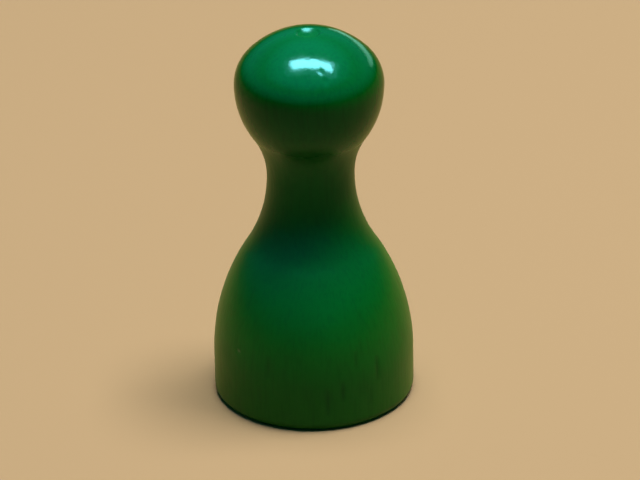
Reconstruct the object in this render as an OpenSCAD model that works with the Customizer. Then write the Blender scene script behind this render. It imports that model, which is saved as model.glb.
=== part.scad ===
// Turned wooden game pawn: one piece of beech under a thin film of green lacquer.
// The outline is a chain of tangent arcs round the Z axis, and the base stands on Z = 0.

/* [Base] */
// Diameter of the base
base_d = 12; // [9:0.5:16]
// Height of the straight wall of the base
base_h = 2.5; // [1.2:0.1:5]
// Rounding of the bottom edge
edge_r = 0.55; // [0.2:0.05:0.8]

/* [Bell and neck] */
// Height from the top of the straight wall to the narrowest place of the neck
bell_h = 11.6; // [8:0.1:16]
// Share of the flank's two radii that the swelling bell takes; the hollow under the neck has the rest
bell_share = 0.6; // [0.4:0.05:0.75]
// Diameter of the neck at its narrowest place
neck_d = 5.2; // [3.6:0.1:6.6]

/* [Head] */
// Diameter of the head at its widest place
head_d = 8.8; // [7.8:0.1:11]
// Height from the narrowest place of the neck to the widest place of the head
head_rise = 5.8; // [4.5:0.1:8]
// Share of the underside's two radii that the head takes; the hollow above the neck has the rest
underside_share = 0.54; // [0.3:0.02:0.7]
// Height of the dome above the widest place of the head
dome_h = 3.3; // [2.8:0.1:3.8]
// Rounding of the shoulder between the side of the head and its dome
shoulder_r = 2.5; // [1:0.1:2.6]

/* [Crown mark] */
// Diameter of the dimple that the lathe leaves on the crown
mark_d = 1.5; // [0.8:0.1:2.4]
// Depth of that dimple below its rim
mark_depth = 0.22; // [0.06:0.02:0.24]

/* [Lacquer] */
// Thickness of the lacquer film
coat_t = 0.08; // [0.04:0.01:0.14]
// Height of the film's lower border above the flat that the pawn stands on
film_lift = 0.02; // [0.01:0.01:0.04]

/* [Hidden] */

// Turning step of the arcs in degrees, and facets round the axis
arc_step = 3;
turn_facets = 120;

// Radii and heights of the places where the outline runs upright
base_r = base_d / 2;
neck_r = neck_d / 2;
head_r = head_d / 2;
neck_z = base_h + bell_h;
head_z = neck_z + head_rise;
crown_z = head_z + dome_h;

// Bottom edge: the wood is rounded down to the flat, and the film ends part of the way round the edge
foot_r = base_r - edge_r;
wood_edge_r = edge_r - coat_t;
film_start = -asin((wood_edge_r - film_lift) / edge_r);

// Two arcs that join upright ends: the sum of their radii, and the angle that each of them turns
function flank_radii(rise, drop) = (rise * rise + drop * drop) / (2 * drop);
function flank_turn(rise, drop) = atan2(rise, flank_radii(rise, drop) - drop);

// Flank from the wall of the base up to the neck
bell_r = bell_share * flank_radii(bell_h, base_r - neck_r);
low_neck_r = flank_radii(bell_h, base_r - neck_r) - bell_r;
bell_turn = flank_turn(bell_h, base_r - neck_r);

// Flank from the neck up to the widest place of the head
underside_r = underside_share * flank_radii(head_rise, head_r - neck_r);
high_neck_r = flank_radii(head_rise, head_r - neck_r) - underside_r;
underside_turn = flank_turn(head_rise, head_r - neck_r);

// Dome: an arc about the axis that runs into the shoulder
shoulder_x = head_r - shoulder_r;
dome_r = (shoulder_x ^ 2 + dome_h ^ 2 - shoulder_r ^ 2) / (2 * (dome_h - shoulder_r));
dome_z = crown_z - dome_r;
shoulder_turn = atan2(head_z - dome_z, shoulder_x);

// Dimple: a shallow hollow ball about the axis, whose rim lies on the dome
mark_r = mark_d / 2;
mark_curve_r = (mark_r ^ 2 + mark_depth ^ 2) / (2 * mark_depth);
mark_floor_z = dome_z + sqrt(dome_r ^ 2 - mark_r ^ 2) - mark_depth;
mark_z = mark_floor_z + mark_curve_r;

// Height of the dimple's rim above the dome's centre, on a surface that lies inset below the outside
function rim_rise(inset) =
    let (reach = mark_z - dome_z)
    (reach ^ 2 + (dome_r - inset) ^ 2 - (mark_curve_r + inset) ^ 2) / (2 * reach);

// Points of an arc from its start up to, but without, its end
function arc(centre, radius, start, end) =
    let (steps = ceil(abs(end - start) / arc_step))
    [
        for (i = [0 : steps - 1])
            let (angle = start + (end - start) * i / steps)
            centre + radius * [cos(angle), sin(angle)]
    ];

// Half outline from the film's lower border to the axis, on a surface that lies inset below the outside
function outline(inset) =
    let (dome_end = asin(rim_rise(inset) / (dome_r - inset)))
    let (mark_start = asin((rim_rise(inset) + dome_z - mark_z) / (mark_curve_r + inset)))
    concat(
        arc([foot_r, wood_edge_r], edge_r - inset, film_start, 0),
        [[base_r - inset, wood_edge_r]],
        arc([base_r - bell_r, base_h], bell_r - inset, 0, bell_turn),
        arc([neck_r + low_neck_r, neck_z], low_neck_r + inset, 180 + bell_turn, 180),
        arc([neck_r + high_neck_r, neck_z], high_neck_r + inset, 180, 180 - underside_turn),
        arc([head_r - underside_r, head_z], underside_r - inset, -underside_turn, 0),
        arc([shoulder_x, head_z], shoulder_r - inset, 0, shoulder_turn),
        arc([0, dome_z], dome_r - inset, shoulder_turn, dome_end),
        arc([0, mark_z], mark_curve_r + inset, mark_start, -90),
        [[0, mark_floor_z - inset]]
    );

function reversed(points) = [for (i = [len(points) - 1 : -1 : 0]) points[i]];

// Turned body, bare on the flat that it stands on
module wood_core() {
    bare_edge = arc([foot_r, wood_edge_r], wood_edge_r, -90, film_start);
    color("burlywood")
        rotate_extrude($fn = turn_facets)
            polygon(concat([[0, 0]], bare_edge, outline(coat_t)));
}

// Film of lacquer over the whole body, down to the bottom edge
module lacquer_coat() {
    color("darkgreen")
        rotate_extrude($fn = turn_facets)
            polygon(concat(outline(0), reversed(outline(coat_t))));
}

wood_core();
lacquer_coat();
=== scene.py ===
"""A turned wooden game pawn: a film of green lacquer over a beech core, on a plain studio floor."""
import math
import random

import bpy
from mathutils import Matrix, Vector


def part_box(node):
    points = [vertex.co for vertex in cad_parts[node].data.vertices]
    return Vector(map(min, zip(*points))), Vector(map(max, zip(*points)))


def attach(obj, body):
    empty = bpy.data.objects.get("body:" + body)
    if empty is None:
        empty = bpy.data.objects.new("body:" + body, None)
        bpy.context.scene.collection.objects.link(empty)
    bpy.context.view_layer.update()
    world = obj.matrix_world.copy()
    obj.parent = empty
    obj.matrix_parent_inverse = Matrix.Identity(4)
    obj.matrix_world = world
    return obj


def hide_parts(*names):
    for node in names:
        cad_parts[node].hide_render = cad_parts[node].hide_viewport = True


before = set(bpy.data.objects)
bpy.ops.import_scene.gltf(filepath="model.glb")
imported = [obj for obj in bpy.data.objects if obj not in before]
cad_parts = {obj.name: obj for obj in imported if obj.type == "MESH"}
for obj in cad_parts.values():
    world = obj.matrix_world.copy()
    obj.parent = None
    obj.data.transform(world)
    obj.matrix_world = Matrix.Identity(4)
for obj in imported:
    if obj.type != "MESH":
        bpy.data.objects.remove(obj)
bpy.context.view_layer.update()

# Turned outline in metres, as the solids have it
film_low, film_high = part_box("lacquer_coat")
BASE_R = (film_high[0] - film_low[0]) / 2
BASE_H = 0.0025
EDGE_R = 0.00055
BELL_H = 0.0116
BELL_SHARE = 0.6
NECK_R = 0.0026
HEAD_R = 0.0044
HEAD_RISE = 0.0058
UNDERSIDE_SHARE = 0.54
DOME_H = 0.0033
SHOULDER_R = 0.0025
MARK_R = 0.00075
MARK_DEPTH = 0.00022
COAT_T = 0.00008
FILM_LIFT = 0.00002

# Heights of the narrowest place of the neck, the widest place of the head, and the crown without its mark
NECK_Z = BASE_H + BELL_H
HEAD_Z = NECK_Z + HEAD_RISE
CROWN_Z = HEAD_Z + DOME_H

# Fineness of the film's mesh: steps round the axis, and spacing of the rings outside and inside
TURN_STEPS = 288
RING_SPACING = 0.000125
LINING_SPACING = 0.0008
MERGE_DISTANCE = 1e-7
SMOOTH_ANGLE = math.radians(50)

# Slow waves of the film, and the room that they need inside the solid's outline
WAVE_HEIGHT = 0.000016
WAVE_SIZE = 0.0016
UNEVEN_ROOM = 0.000012


def flank(rise, drop):
    """Sum of the radii of two arcs that join upright ends, and the angle that each of them turns."""
    radii = (rise * rise + drop * drop) / (2 * drop)
    return radii, math.atan2(rise, radii - drop)


def arc(centre, radius, start, end, spacing):
    """Points of an arc from its start up to, but without, its end."""
    steps = max(2, math.ceil(abs(end - start) * radius / spacing))
    angles = [start + (end - start) * step / steps for step in range(steps)]
    return [(centre[0] + radius * math.cos(a), centre[1] + radius * math.sin(a)) for a in angles]


def outline(inset, spacing):
    """Half outline (radius, height) from the film's lower border to the crown, inset below the outside."""
    quarter, half = math.pi / 2, math.pi
    wood_edge_r = EDGE_R - COAT_T
    foot_r = BASE_R - EDGE_R
    film_start = -math.asin((wood_edge_r - FILM_LIFT) / EDGE_R)
    bell_radii, bell_turn = flank(BELL_H, BASE_R - NECK_R)
    bell_r = BELL_SHARE * bell_radii
    low_neck_r = bell_radii - bell_r
    head_radii, head_turn = flank(HEAD_RISE, HEAD_R - NECK_R)
    underside_r = UNDERSIDE_SHARE * head_radii
    high_neck_r = head_radii - underside_r
    shoulder_x = HEAD_R - SHOULDER_R
    dome_r = (shoulder_x ** 2 + DOME_H ** 2 - SHOULDER_R ** 2) / (2 * (DOME_H - SHOULDER_R))
    dome_z = CROWN_Z - dome_r
    shoulder_turn = math.atan2(HEAD_Z - dome_z, shoulder_x)
    mark_curve_r = (MARK_R ** 2 + MARK_DEPTH ** 2) / (2 * MARK_DEPTH)
    mark_floor_z = dome_z + math.sqrt(dome_r ** 2 - MARK_R ** 2) - MARK_DEPTH
    mark_z = mark_floor_z + mark_curve_r
    reach = mark_z - dome_z
    rim_rise = (reach ** 2 + (dome_r - inset) ** 2 - (mark_curve_r + inset) ** 2) / (2 * reach)
    dome_end = math.asin(rim_rise / (dome_r - inset))
    mark_start = math.asin((rim_rise - reach) / (mark_curve_r + inset))
    crown_turn = dome_end - 2 * MARK_R / dome_r
    points = arc((foot_r, wood_edge_r), EDGE_R - inset, film_start, 0, spacing)
    wall_h = BASE_H - wood_edge_r
    wall_steps = math.ceil(wall_h / spacing)
    points += [(BASE_R - inset, wood_edge_r + wall_h * step / wall_steps) for step in range(wall_steps)]
    points += arc((BASE_R - bell_r, BASE_H), bell_r - inset, 0, bell_turn, spacing)
    points += arc((NECK_R + low_neck_r, NECK_Z), low_neck_r + inset, half + bell_turn, half, spacing)
    points += arc((NECK_R + high_neck_r, NECK_Z), high_neck_r + inset, half, half - head_turn, spacing)
    points += arc((HEAD_R - underside_r, HEAD_Z), underside_r - inset, -head_turn, 0, spacing)
    points += arc((shoulder_x, HEAD_Z), SHOULDER_R - inset, 0, shoulder_turn, spacing)
    points += arc((0, dome_z), dome_r - inset, shoulder_turn, crown_turn, spacing)
    points += arc((0, dome_z), dome_r - inset, crown_turn, dome_end, spacing / 2)
    points += arc((0, mark_z), mark_curve_r + inset, mark_start, -quarter, spacing / 2)
    return points + [(0, mark_floor_z - inset)]


def spun_film():
    """Draws the outside of the film as one line of vertices, and spins it round the axis."""
    line = [Vector((radius, 0, height)) for radius, height in outline(UNEVEN_ROOM, RING_SPACING)]
    bpy.ops.object.select_all(action="DESELECT")
    bpy.ops.mesh.primitive_plane_add(size=BASE_R)
    film = bpy.context.object
    film.name = "lacquer_film"
    bpy.ops.object.mode_set(mode="EDIT")
    bpy.ops.mesh.merge(type="CENTER")
    bpy.ops.transform.translate(value=line[0])
    for here, there in zip(line, line[1:]):
        bpy.ops.mesh.extrude_region_move(TRANSFORM_OT_translate={"value": there - here})
    bpy.ops.mesh.select_all(action="SELECT")
    bpy.ops.mesh.spin(steps=TURN_STEPS, angle=2 * math.pi, center=(0, 0, 0), axis=(0, 0, 1))
    bpy.ops.mesh.select_all(action="SELECT")
    bpy.ops.mesh.remove_doubles(threshold=MERGE_DISTANCE)
    bpy.ops.mesh.normals_make_consistent(inside=False)
    bpy.ops.object.mode_set(mode="OBJECT")
    return film


def weigh(piece, name, weights):
    """Puts vertices in a named group, each with its own weight."""
    group = piece.vertex_groups.new(name=name)
    for index, weight in weights.items():
        group.add([index], weight, "REPLACE")


def note(piece, name, weights):
    """Keeps weights on the piece's vertices under a name that its material reads."""
    mark = piece.data.attributes.new(name, "FLOAT", "POINT")
    for index, weight in weights.items():
        mark.data[index].value = weight


def displace(piece, name, strength, texture=None, middle=0.0):
    """Moves the group of that name along its normals; without such a group, all of the piece moves."""
    modifier = piece.modifiers.new(name, "DISPLACE")
    modifier.strength = strength
    modifier.mid_level = middle
    modifier.texture_coords = "LOCAL"
    modifier.texture = texture
    if name in piece.vertex_groups:
        modifier.vertex_group = name
    bpy.ops.object.modifier_apply(modifier=name)


def clouds(name, size):
    """Plain soft noise for a displacement, with features of that size."""
    texture = bpy.data.textures.new(name, "CLOUDS")
    texture.noise_scale = size
    texture.noise_depth = 1
    return texture


# Pores of the wood that show near the front: turn from the front in degrees, height, length, depth share
FRONT_PORES = (
    (-27, 0.0040, 0.0014, 0.8),
    (-18, 0.0037, 0.0008, 0.4),
    (7.5, 0.0019, 0.0019, 1.0),
    (16.25, 0.0025, 0.0013, 1.0),
    (25, 0.0044, 0.0011, 0.8),
    (38.75, 0.0035, 0.0017, 1.0),
    (33.75, 0.0018, 0.0012, 0.4),
)
PORE_DEPTH = 0.000018
PORE_SIDE_SHARE = 0.4

# Seeded pores all round: their number, highest place, thinning towards it, lengths, and depth shares
SEEDED_PORES = 130
PORE_SEED = 7
PORE_TOP = 0.9 * CROWN_Z
PORE_THINNING = 1.8
PORE_LENGTHS = (0.0005, 0.0017)
FRONT_TURN = 70
FRONT_SHARES = (0.1, 0.35)
BACK_SHARES = (0.2, 0.9)


def pore_places():
    """The front pores, and seeded ones all round that thin out towards the top and are faint in front."""
    chance = random.Random(PORE_SEED)
    places = list(FRONT_PORES)
    for _ in range(SEEDED_PORES):
        turn = chance.uniform(-180, 180)
        height = PORE_TOP * chance.random() ** PORE_THINNING
        shares = FRONT_SHARES if abs(turn) < FRONT_TURN else BACK_SHARES
        share = chance.uniform(*shares)
        length = chance.uniform(*PORE_LENGTHS)
        places.append((turn, height, length, share))
    return places


def press_pores(film):
    """Sinks each pore as a short upright groove along a line of vertices, and notes it for the finish."""
    mesh = film.data
    step = 2 * math.pi / TURN_STEPS
    columns = {}
    for vertex in mesh.vertices:
        column = round(math.atan2(vertex.co.x, -vertex.co.y) / step) % TURN_STEPS
        columns.setdefault(column, []).append(vertex.index)
    weights = {}
    for turn, height, length, share in pore_places():
        middle = round(math.radians(turn) / step)
        for aside, part in ((-1, PORE_SIDE_SHARE), (0, 1.0), (1, PORE_SIDE_SHARE)):
            for index in columns[(middle + aside) % TURN_STEPS]:
                along = 2 * (mesh.vertices[index].co.z - height) / length
                if abs(along) < 1:
                    weight = share * part * (1 - along * along) ** 0.5
                    weights[index] = max(weights.get(index, 0.0), weight)
    weigh(film, "pore_grooves", weights)
    note(film, "pore", weights)
    displace(film, "pore_grooves", -PORE_DEPTH)


# Deeper place in the mark on the crown, and torn end grain about it: place beside the axis, half widths
CROWN_PIT = (-0.00016, 0.00026, 0.00054, 0.00042)
TORN_GRAIN = (0.0, 0.0, 1.4 * MARK_R, 1.4 * MARK_R)
PIT_DEPTH = 0.00005
CROWN_FALLOFF = 1.5


def crown_weights(film, flaw):
    """Weights of a flaw on the crown, full in its middle and nothing at its border."""
    across, along, half_across, half_along = flaw
    weights = {}
    for vertex in film.data.vertices:
        if vertex.co.z > HEAD_Z:
            away = ((vertex.co.x - across) / half_across) ** 2 + ((vertex.co.y - along) / half_along) ** 2
            if away < 1:
                weights[vertex.index] = (1 - away) ** CROWN_FALLOFF
    return weights


def roughen_crown(film):
    """Sinks the mark on the crown deeper on one side, and notes its torn end grain for the finish."""
    weigh(film, "crown_pit", crown_weights(film, CROWN_PIT))
    displace(film, "crown_pit", -PIT_DEPTH)
    note(film, "torn", crown_weights(film, TORN_GRAIN))


# Chip in the bell's film, and two dents in the head's: turn from the front, height, half width, depth
CHIP = (-49.5, 0.00435, 0.00014, 0.00004)
DENT = (12.6, 0.02203, 0.00020, 0.000018)
SMALL_DENT = (14.3, 0.02161, 0.00018, 0.000024)


def press_spot(film, name, spot):
    """Sinks a small round spot into the film, and gives its weights."""
    turn, height, half_width, depth = spot
    side = math.radians(turn)
    weights = {}
    for vertex in film.data.vertices:
        if abs(vertex.co.z - height) < half_width:
            reach = vertex.co.xy.length
            across = reach * math.sin(math.atan2(vertex.co.x, -vertex.co.y) - side)
            front = vertex.co.x * math.sin(side) - vertex.co.y * math.cos(side) > 0
            away = (across / half_width) ** 2 + ((vertex.co.z - height) / half_width) ** 2
            if front and away < 1:
                weights[vertex.index] = 1 - away
    weigh(film, name, weights)
    displace(film, name, -depth)
    return weights


def line_film(film):
    """Closes the film on the wood's side: its lower border is extruded in and up, ring by ring."""
    rings = outline(COAT_T, LINING_SPACING)
    here = outline(UNEVEN_ROOM, RING_SPACING)[0]
    bpy.ops.object.mode_set(mode="EDIT")
    bpy.ops.mesh.select_mode(type="EDGE")
    bpy.ops.mesh.select_all(action="DESELECT")
    bpy.ops.mesh.select_non_manifold()
    for there in rings[:-1]:
        bpy.ops.mesh.extrude_region_move(TRANSFORM_OT_translate={"value": (0, 0, there[1] - here[1])})
        shrink = there[0] / here[0]
        bpy.ops.transform.resize(value=(shrink, shrink, 1), center_override=(0, 0, 0))
        here = there
    bpy.ops.mesh.merge(type="CENTER")
    bpy.ops.object.mode_set(mode="OBJECT")


def lacquer_film():
    """The film over the whole pawn: spun, marked by its pores and flaws, waved, and lined."""
    film = spun_film()
    press_pores(film)
    note(film, "chip", press_spot(film, "chip_hollow", CHIP))
    press_spot(film, "dent", DENT)
    press_spot(film, "small_dent", SMALL_DENT)
    roughen_crown(film)
    displace(film, "slow_waves", WAVE_HEIGHT, clouds("film_waves", WAVE_SIZE), middle=0.5)
    line_film(film)
    bpy.ops.object.shade_smooth_by_angle(angle=SMOOTH_ANGLE)
    return film


WHITE = (1, 1, 1, 1)
BLACK = (0, 0, 0, 1)

# Span that most of a noise's values lie in
NOISE_LOW, NOISE_HIGH = 0.3, 0.7

# Places of the Mix node's sockets for colours: its factor, the two colours, and the result
MIX_FACTOR, MIX_FIRST, MIX_SECOND, MIX_RESULT = 0, 6, 7, 2


def grey(level):
    return (level, level, level, 1)


def new_material(name):
    material = bpy.data.materials.new(name)
    material.use_nodes = True
    nodes = material.node_tree.nodes
    return material, nodes, material.node_tree.links, nodes["Principled BSDF"]


def stretched_noise(nodes, links, per_millimetre, detail):
    """Noise on the piece's own coordinates, with its features counted per millimetre along X, Y and Z."""
    place = nodes.new("ShaderNodeTexCoord")
    mapping = nodes.new("ShaderNodeMapping")
    mapping.inputs["Scale"].default_value = [1000 * count for count in per_millimetre]
    texture = nodes.new("ShaderNodeTexNoise")
    texture.inputs["Scale"].default_value = 1
    texture.inputs["Detail"].default_value = detail
    links.new(place.outputs["Object"], mapping.inputs["Vector"])
    links.new(mapping.outputs["Vector"], texture.inputs["Vector"])
    return texture.outputs["Fac"]


def ramp(nodes, links, factor, stops):
    node = nodes.new("ShaderNodeValToRGB")
    elements = node.color_ramp.elements
    elements[0].position, elements[0].color = stops[0]
    elements[1].position, elements[1].color = stops[-1]
    for position, colour in stops[1:-1]:
        elements.new(position).color = colour
    links.new(factor, node.inputs["Fac"])
    return node.outputs["Color"]


def below(nodes, links, fade):
    """Mask on the piece's own height, full below the fade's two heights and nothing above them."""
    low, high = fade
    place = nodes.new("ShaderNodeTexCoord")
    parts = nodes.new("ShaderNodeSeparateXYZ")
    links.new(place.outputs["Object"], parts.inputs["Vector"])
    return ramp(nodes, links, parts.outputs["Z"], [(low, WHITE), (high, BLACK)])


def noted(nodes, name):
    """Weights that were noted on the piece's vertices under that name."""
    node = nodes.new("ShaderNodeAttribute")
    node.attribute_name = name
    return node.outputs["Fac"]


def mixed(nodes, links, factor, first, second, blend="MIX"):
    node = nodes.new("ShaderNodeMix")
    node.data_type = "RGBA"
    node.blend_type = blend
    for place, value in ((MIX_FACTOR, factor), (MIX_FIRST, first), (MIX_SECOND, second)):
        if isinstance(value, bpy.types.NodeSocket):
            links.new(value, node.inputs[place])
        else:
            node.inputs[place].default_value = value
    return node.outputs[MIX_RESULT]


def bump(nodes, links, height, distance, under=None):
    """Normal with a relief of that distance, on top of the normal under it where one is given."""
    node = nodes.new("ShaderNodeBump")
    node.inputs["Distance"].default_value = distance
    links.new(height, node.inputs["Height"])
    if under:
        links.new(under, node.inputs["Normal"])
    return node.outputs["Normal"]


# Colours of the lacquer: the two greens of its clouds, and painted light added on the body and painted warm
# bounce added on the base
DEEP_GREEN = (0.0, 0.113, 0.005, 1)
FULL_GREEN = (0.0, 0.136, 0.009, 1)
BODY_PAINTED_LIGHT = (0.0, 0.050, 0.001, 1)
BASE_PAINTED_BOUNCE = (0.022, 0.020, 0.0, 1)

# Heights between which the base's painted bounce, the body's painted light and the parts below the head
# fade into what lies above them
BASE_BOUNCE_FADE = (0.0020, 0.0048)
BODY_LIGHT_FADE = (0.0102, 0.0122)
HEAD_FADE = (0.0169, 0.0199)

# Streaks of the grain that show through, and the colours of the pores and the chip
STREAK_SHADE = (0.80, 0.84, 0.78, 1)
STREAK_SHARE = 0.8
PORE_GREEN = (0.005, 0.105, 0.003, 1)
CHIP_GREEN = (0.16, 0.25, 0.09, 1)

# Gloss of the lacquer: roughness from place to place, the tint of what it mirrors, and its fine relief
HEAD_SMOOTHEST, HEAD_ROUGHEST = 0.08, 0.14
BODY_ROUGHNESS = 0.33
TORN_ROUGHNESS = 0.40
LACQUER_IOR = 1.5
GLOSS_TINT = (0.28, 0.85, 0.80, 1)
GRAIN_RELIEF = 0.000006
FINE_RELIEF = 0.000007


def green_lacquer():
    """Cloudy green film with faint streaks, pores and a chip, less glossy on the body, with painted light
    that makes the body lighter and painted warm bounce that makes the base more olive.
    """
    material, nodes, links, shader = new_material("green_lacquer")
    cloudy = stretched_noise(nodes, links, (0.22, 0.22, 0.16), detail=3)
    colour = ramp(nodes, links, cloudy, [(NOISE_LOW, DEEP_GREEN), (NOISE_HIGH, FULL_GREEN)])
    # Painted light: the body is made lighter green than the head
    colour = mixed(nodes, links, below(nodes, links, BODY_LIGHT_FADE), colour, BODY_PAINTED_LIGHT, "ADD")
    # Painted warm bounce: the base is made more olive towards the bottom
    colour = mixed(nodes, links, below(nodes, links, BASE_BOUNCE_FADE), colour, BASE_PAINTED_BOUNCE, "ADD")
    grain = stretched_noise(nodes, links, (5.5, 5.5, 0.35), detail=3)
    streaks = ramp(nodes, links, grain, [(0.36, STREAK_SHADE), (0.52, WHITE)])
    colour = mixed(nodes, links, STREAK_SHARE, colour, streaks, "MULTIPLY")
    colour = mixed(nodes, links, noted(nodes, "pore"), colour, PORE_GREEN)
    colour = mixed(nodes, links, noted(nodes, "chip"), colour, CHIP_GREEN)
    links.new(colour, shader.inputs["Base Color"])
    fine = stretched_noise(nodes, links, (1.6, 1.6, 1.6), detail=2)
    rough = ramp(nodes, links, fine, [(NOISE_LOW, grey(HEAD_SMOOTHEST)), (NOISE_HIGH, grey(HEAD_ROUGHEST))])
    rough = mixed(nodes, links, below(nodes, links, HEAD_FADE), rough, grey(BODY_ROUGHNESS))
    rough = mixed(nodes, links, noted(nodes, "torn"), rough, grey(TORN_ROUGHNESS))
    links.new(rough, shader.inputs["Roughness"])
    shader.inputs["IOR"].default_value = LACQUER_IOR
    shader.inputs["Specular Tint"].default_value = GLOSS_TINT
    normal = bump(nodes, links, grain, GRAIN_RELIEF)
    normal = bump(nodes, links, fine, FINE_RELIEF, under=normal)
    links.new(normal, shader.inputs["Normal"])
    return material


# Bare end grain: where the rings centre, how close they are, and the colours from early to late wood
PITH_SHIFT = (0.031, 0.012, 0)
RING_SCALE = 150
EARLY_WOOD = (0.60, 0.40, 0.235, 1)
SUMMER_WOOD = (0.53, 0.335, 0.185, 1)
LATE_WOOD = (0.40, 0.23, 0.115, 1)

# Rays and open vessels in the end grain: their shades, how much they darken it, and its relief
RAY_SHADE = (0.74, 0.66, 0.58, 1)
RAY_SHARE = 0.55
VESSEL_SHADE = (0.52, 0.42, 0.34, 1)
VESSEL_SHARE = 0.7
VESSEL_RELIEF = 0.00003
WOOD_ROUGHEST, WOOD_SMOOTHEST = 0.78, 0.62


def bare_beech():
    """End grain of beech: growth rings about a pith beside the pawn, rays across them, and fine vessels."""
    material, nodes, links, shader = new_material("bare_beech")
    place = nodes.new("ShaderNodeTexCoord")
    centred = nodes.new("ShaderNodeMapping")
    centred.inputs["Location"].default_value = PITH_SHIFT
    links.new(place.outputs["Object"], centred.inputs["Vector"])
    rings = nodes.new("ShaderNodeTexWave")
    rings.wave_type = "RINGS"
    rings.rings_direction = "Z"
    rings.wave_profile = "SAW"
    rings.inputs["Scale"].default_value = RING_SCALE
    rings.inputs["Distortion"].default_value = 0.6
    rings.inputs["Detail"].default_value = 2
    rings.inputs["Detail Scale"].default_value = 2
    links.new(centred.outputs["Vector"], rings.inputs["Vector"])
    growth = [(0.0, EARLY_WOOD), (0.72, SUMMER_WOOD), (1.0, LATE_WOOD)]
    colour = ramp(nodes, links, rings.outputs["Fac"], growth)
    rays = stretched_noise(nodes, links, (1.2, 9.0, 0.6), detail=1)
    ray_shades = ramp(nodes, links, rays, [(0.40, WHITE), (0.62, RAY_SHADE)])
    colour = mixed(nodes, links, RAY_SHARE, colour, ray_shades, "MULTIPLY")
    vessels = stretched_noise(nodes, links, (14, 14, 0.8), detail=1)
    vessel_shades = ramp(nodes, links, vessels, [(0.30, VESSEL_SHADE), (0.42, WHITE)])
    colour = mixed(nodes, links, VESSEL_SHARE, colour, vessel_shades, "MULTIPLY")
    links.new(colour, shader.inputs["Base Color"])
    rough = ramp(nodes, links, rays, [(NOISE_LOW, grey(WOOD_ROUGHEST)), (NOISE_HIGH, grey(WOOD_SMOOTHEST))])
    links.new(rough, shader.inputs["Roughness"])
    links.new(bump(nodes, links, vessels, VESSEL_RELIEF), shader.inputs["Normal"])
    return material


def dress(piece, material):
    piece.data.materials.clear()
    piece.data.materials.append(material)


# Floor: its colours as seen, as bounced onto the pawn and as mirrored in it
FLOOR_SIZE = 4
FLOOR_SEEN = (0.61, 0.35, 0.181, 1)
FLOOR_BOUNCED = (0.19, 0.108, 0.043, 1)
FLOOR_MIRRORED = (0.64, 0.39, 0.11, 1)
FLOOR_ROUGHNESS = 0.9

# Distances from the pawn between which its mirrored colour fades out, and its shares there; this is painted
# shade, the floor as the pawn mirrors it growing darker further away
MIRROR_NEAR, MIRROR_FAR = 0.02, 0.11
MIRROR_NEAR_SHARE, MIRROR_FAR_SHARE = 0.6, 0.1


def combined(nodes, links, operation, first, second):
    """Result of a Math node on two sockets."""
    node = nodes.new("ShaderNodeMath")
    node.operation = operation
    links.new(first, node.inputs[0])
    links.new(second, node.inputs[1])
    return node.outputs["Value"]


def studio_floor():
    """A plain pale floor; rays that bounce it onto the pawn find it darker, and mirrored ones browner, with
    painted shade further from the pawn.
    """
    bpy.ops.object.select_all(action="DESELECT")
    bpy.ops.mesh.primitive_plane_add(size=FLOOR_SIZE, location=(0, 0, 0))
    floor = bpy.context.object
    floor.name = "studio_floor"
    material, nodes, links, shader = new_material("pale_floor")
    rays = nodes.new("ShaderNodeLightPath").outputs
    seen = combined(nodes, links, "MAXIMUM", rays["Is Camera Ray"], rays["Is Transmission Ray"])
    place = nodes.new("ShaderNodeTexCoord")
    away = nodes.new("ShaderNodeVectorMath")
    away.operation = "LENGTH"
    links.new(place.outputs["Object"], away.inputs[0])
    near = nodes.new("ShaderNodeMapRange")
    near.inputs["From Min"].default_value = MIRROR_FAR
    near.inputs["From Max"].default_value = MIRROR_NEAR
    near.inputs["To Min"].default_value = MIRROR_FAR_SHARE
    near.inputs["To Max"].default_value = MIRROR_NEAR_SHARE
    links.new(away.outputs["Value"], near.inputs["Value"])
    # Painted shade: in the pawn's gloss the floor grows darker away from the pawn
    mirrored = combined(nodes, links, "MULTIPLY", rays["Is Glossy Ray"], near.outputs["Result"])
    colour = mixed(nodes, links, seen, FLOOR_BOUNCED, FLOOR_SEEN)
    colour = mixed(nodes, links, mirrored, colour, FLOOR_MIRRORED)
    links.new(colour, shader.inputs["Base Color"])
    shader.inputs["Roughness"].default_value = FLOOR_ROUGHNESS
    shader.inputs["Specular IOR Level"].default_value = 0.0
    dress(floor, material)


COOL_DAYLIGHT = (0.82, 0.96, 1.0)
WINDOW_BLUE = (0.58, 0.79, 1.0)
HALO_TEAL = (0.30, 0.85, 1.0)
STRIP_GREEN = (0.36, 0.82, 0.64)

# Ceiling that gloss shows: brightness by the height of the direction, and the little that every ray finds
CEILING_STOPS = ((0.02, 0), (0.12, 0.10), (0.35, 0.32), (0.62, 0.34), (0.84, 0.92), (0.95, 1))
CEILING_COLOUR = (0.06, 0.88, 1.0, 1)
CEILING_LEVEL = 1.5
ROOM_SHARE = 0.04


def soft_light(name, left, right, width, power, colour):
    """A rectangular lamp from its left to its right end, turned to face the head of the pawn."""
    left, right = Vector(left), Vector(right)
    middle = (left + right) / 2
    along = (right - left).normalized()
    back = (middle - Vector((0, 0, HEAD_Z))).normalized()
    upward = back.cross(along).normalized()
    turn = Matrix((along, upward, along.cross(upward))).transposed().to_euler()
    bpy.ops.object.light_add(type="AREA", location=middle, rotation=turn)
    light = bpy.context.object
    light.name = name
    light.data.shape = "RECTANGLE"
    light.data.size = (right - left).length
    light.data.size_y = width
    light.data.energy = power
    light.data.color = colour
    light.visible_camera = False
    return light


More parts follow.
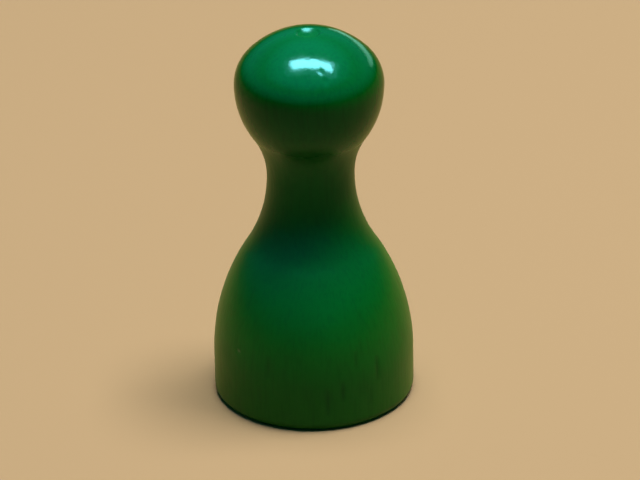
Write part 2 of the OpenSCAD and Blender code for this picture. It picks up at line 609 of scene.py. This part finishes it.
def studio_lamps():
    """An overhead lamp that gloss does not show, and a halo, a card and a strip that only gloss shows."""
    lamp = soft_light(
        "overhead_lamp", (-0.085, 0.03, 0.5), (0.215, 0.03, 0.5),
        width=0.16, power=3.3, colour=COOL_DAYLIGHT,
    )
    lamp.visible_glossy = False
    halo = soft_light(
        "gloss_halo", (-0.23, 0.0, 0.5), (0.31, -0.03, 0.5),
        width=0.232, power=0.45, colour=HALO_TEAL,
    )
    card = soft_light(
        "gloss_card", (-0.150, 0.013, 0.47), (0.215, -0.009, 0.47),
        width=0.110, power=4.4, colour=WINDOW_BLUE,
    )
    strip = soft_light(
        "gloss_strip", (0.038, 0.298, 0.024), (0.222, 0.203, 0.088),
        width=0.036, power=0.042, colour=STRIP_GREEN,
    )
    for light in (halo, card, strip):
        light.visible_diffuse = False


def studio_ceiling():
    """A world that is bright overhead and fades out towards the horizon where gloss shows it."""
    world = bpy.data.worlds.new("studio")
    bpy.context.scene.world = world
    world.use_nodes = True
    nodes = world.node_tree.nodes
    links = world.node_tree.links
    direction = nodes.new("ShaderNodeTexCoord")
    parts = nodes.new("ShaderNodeSeparateXYZ")
    links.new(direction.outputs["Generated"], parts.inputs["Vector"])
    ceiling = ramp(nodes, links, parts.outputs["Z"], [(rise, grey(level)) for rise, level in CEILING_STOPS])
    rays = nodes.new("ShaderNodeLightPath")
    strength = nodes.new("ShaderNodeMath")
    strength.operation = "MULTIPLY_ADD"
    links.new(ceiling, strength.inputs[0])
    links.new(rays.outputs["Is Glossy Ray"], strength.inputs[1])
    strength.inputs[2].default_value = ROOM_SHARE
    level = nodes.new("ShaderNodeMath")
    level.operation = "MULTIPLY"
    level.inputs[1].default_value = CEILING_LEVEL
    links.new(strength.outputs["Value"], level.inputs[0])
    background = nodes["Background"]
    background.inputs["Color"].default_value = CEILING_COLOUR
    links.new(level.outputs["Value"], background.inputs["Strength"])


# Camera: distance and elevation about the middle of the pawn, the point that it aims at, and its lean
CAMERA_DISTANCE = 0.24
CAMERA_ELEVATION = math.radians(26.3)
CAMERA_ABOUT = Vector((0, 0, 0.012))
CAMERA_AIM = Vector((0.000484, 0, 0.009669))
CAMERA_LEAN = math.radians(0.98)
CAMERA_LENS = 228.5
CAMERA_CLIP = 0.01


def photo_camera():
    back = Vector((0, -math.cos(CAMERA_ELEVATION), math.sin(CAMERA_ELEVATION)))
    bpy.ops.object.camera_add(location=CAMERA_ABOUT + CAMERA_DISTANCE * back)
    camera = bpy.context.object
    camera.rotation_euler = (CAMERA_AIM - camera.location).to_track_quat("-Z", "Y").to_euler()
    camera.rotation_euler.rotate_axis("Z", -CAMERA_LEAN)
    camera.data.lens = CAMERA_LENS
    camera.data.clip_start = CAMERA_CLIP
    bpy.context.scene.camera = camera


film = lacquer_film()
dress(film, green_lacquer())
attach(film, "root")
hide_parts("lacquer_coat")
dress(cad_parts["wood_core"], bare_beech())

studio_floor()
studio_lamps()
studio_ceiling()
photo_camera()
bpy.context.scene.view_settings.view_transform = "Standard"
